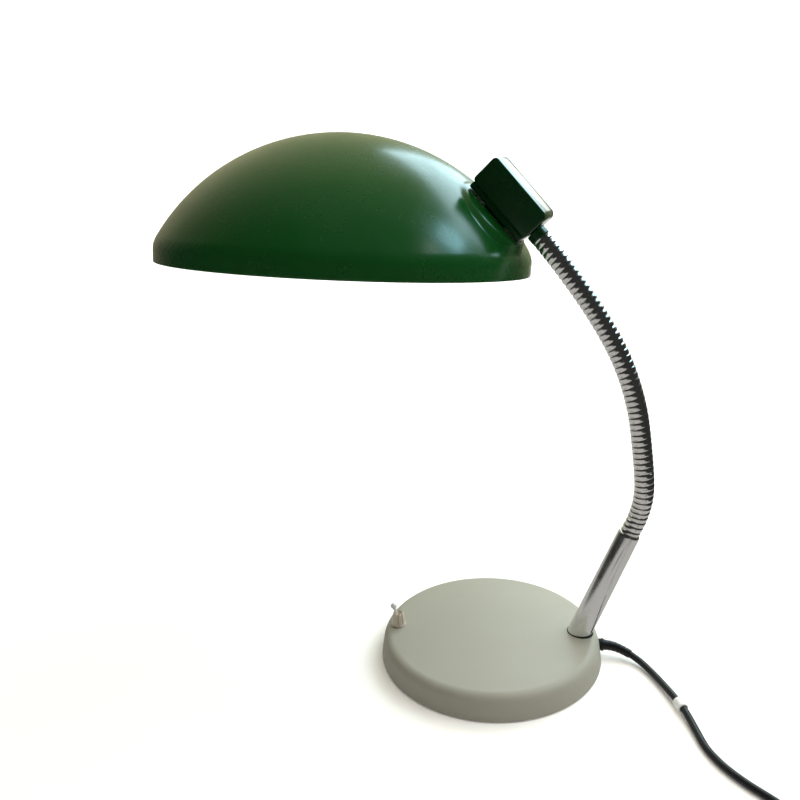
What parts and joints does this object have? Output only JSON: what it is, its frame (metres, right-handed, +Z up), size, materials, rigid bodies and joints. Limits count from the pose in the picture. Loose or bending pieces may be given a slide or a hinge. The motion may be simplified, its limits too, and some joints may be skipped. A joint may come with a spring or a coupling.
{
  "type": "gooseneck desk lamp",
  "caption": "Desk lamp with a round weighted base, toggle switch, bright ribbed flexible neck, box knuckle and a swivelling enamelled dish shade; mains cord with plug.",
  "frame": {"origin": "middle of the base's underside, on the table", "axes": "+Z up; +X from the toggle switch to the stem along the base; the shade hangs over -X"},
  "size_m": [0.4572, 0.457, 0.371],
  "materials": {
    "felt": "wool felt",
    "zinc_steel": "zinc plated",
    "cast_iron": "as cast",
    "greige_paint": "satin",
    "green_enamel": "gloss",
    "dark_green_paint": "gloss",
    "chrome": "polished",
    "brass": "machined",
    "cream_plastic": "moulded",
    "white_plastic": "moulded",
    "black_plastic": "moulded",
    "black_rubber": "smooth",
    "red_fibre": "vulcanised fibre",
    "opal_glass": "opal"
  },
  "bodies": {
    "base": {"base_pad": "felt", "base_plate": "zinc_steel", "base_weight": "cast_iron", "base_shell": "greige_paint", "plate_screw_1": "zinc_steel", "plate_screw_2": "zinc_steel", "plate_screw_3": "zinc_steel", "stem_gasket": "black_rubber", "stem_tube": "chrome", "stem_washer": "zinc_steel", "stem_nut": "brass", "switch_body": "black_plastic", "switch_nut": "zinc_steel", "switch_bush": "cream_plastic", "terminal_block": "white_plastic", "cord_clamp": "black_plastic", "clamp_screw": "zinc_steel", "cord_run": "black_rubber", "cord_relief": "black_rubber", "cord_clip": "white_plastic", "cord_coil": "black_rubber", "coil_tie": "white_plastic", "cord_tail": "black_rubber", "plug_body": "black_plastic", "plug_pin_1": "brass", "plug_pin_2": "brass", "neck_segment_1": "chrome"},
    "lever": {"switch_lever": "chrome"},
    "neck_2": {"neck_segment_2": "chrome"},
    "neck_3": {"neck_segment_3": "chrome"},
    "neck_4": {"neck_segment_4": "chrome"},
    "neck_5": {"neck_segment_5": "chrome"},
    "neck_6": {"neck_segment_6": "chrome"},
    "knuckle": {"neck_segment_7": "chrome", "neck_ferrule": "dark_green_paint", "ferrule_nut": "brass", "knuckle_housing": "dark_green_paint", "knuckle_cover": "dark_green_paint", "cover_screw_1": "zinc_steel", "cover_screw_2": "zinc_steel", "pivot_washer": "red_fibre", "pivot_nipple": "brass", "pivot_nut_outer": "brass", "pivot_nut_inner": "brass", "pivot_spring_washer": "zinc_steel"},
    "shade": {"shade": "green_enamel", "holder_bracket": "zinc_steel", "bracket_rivet": "zinc_steel", "lampholder": "black_plastic", "holder_screw": "zinc_steel", "bulb_cap": "brass", "bulb_glass": "opal_glass"}
  },
  "joints": [
    {"name": "switch_toggle", "type": "hinge", "parent": "base", "child": "lever", "pos_m": [-0.0678, 0, 0.02333], "axis": [0, 1, 0], "range_deg": [0, 34]},
    {"name": "neck_bend_1", "type": "hinge", "parent": "base", "child": "neck_2", "pos_m": [0.10345, -0.00221, 0.12952], "axis": [0.2756, 0.9613, 0], "range_deg": [-8, 14]},
    {"name": "neck_bend_2", "type": "hinge", "parent": "neck_2", "child": "neck_3", "pos_m": [0.1008, -0.00136, 0.16099], "axis": [0.2756, 0.9613, 0], "range_deg": [-8, 14]},
    {"name": "neck_bend_3", "type": "hinge", "parent": "neck_3", "child": "neck_4", "pos_m": [0.09544, 0.00018, 0.1921], "axis": [0.2756, 0.9613, 0], "range_deg": [-8, 14]},
    {"name": "neck_bend_4", "type": "hinge", "parent": "neck_4", "child": "neck_5", "pos_m": [0.08516, 0.00312, 0.22179], "axis": [0.2756, 0.9613, 0], "range_deg": [-8, 14]},
    {"name": "neck_bend_5", "type": "hinge", "parent": "neck_5", "child": "neck_6", "pos_m": [0.06998, 0.00748, 0.24913], "axis": [0.2756, 0.9613, 0], "range_deg": [-8, 14]},
    {"name": "neck_bend_6", "type": "hinge", "parent": "neck_6", "child": "knuckle", "pos_m": [0.05221, 0.01257, 0.27476], "axis": [0.2756, 0.9613, 0], "range_deg": [-8, 14]},
    {"name": "shade_swivel", "type": "hinge", "parent": "knuckle", "child": "shade", "pos_m": [0.00425, 0.02632, 0.31471], "axis": [0.7144, -0.2048, 0.6691], "range_deg": [-90, 90]}
  ]
}
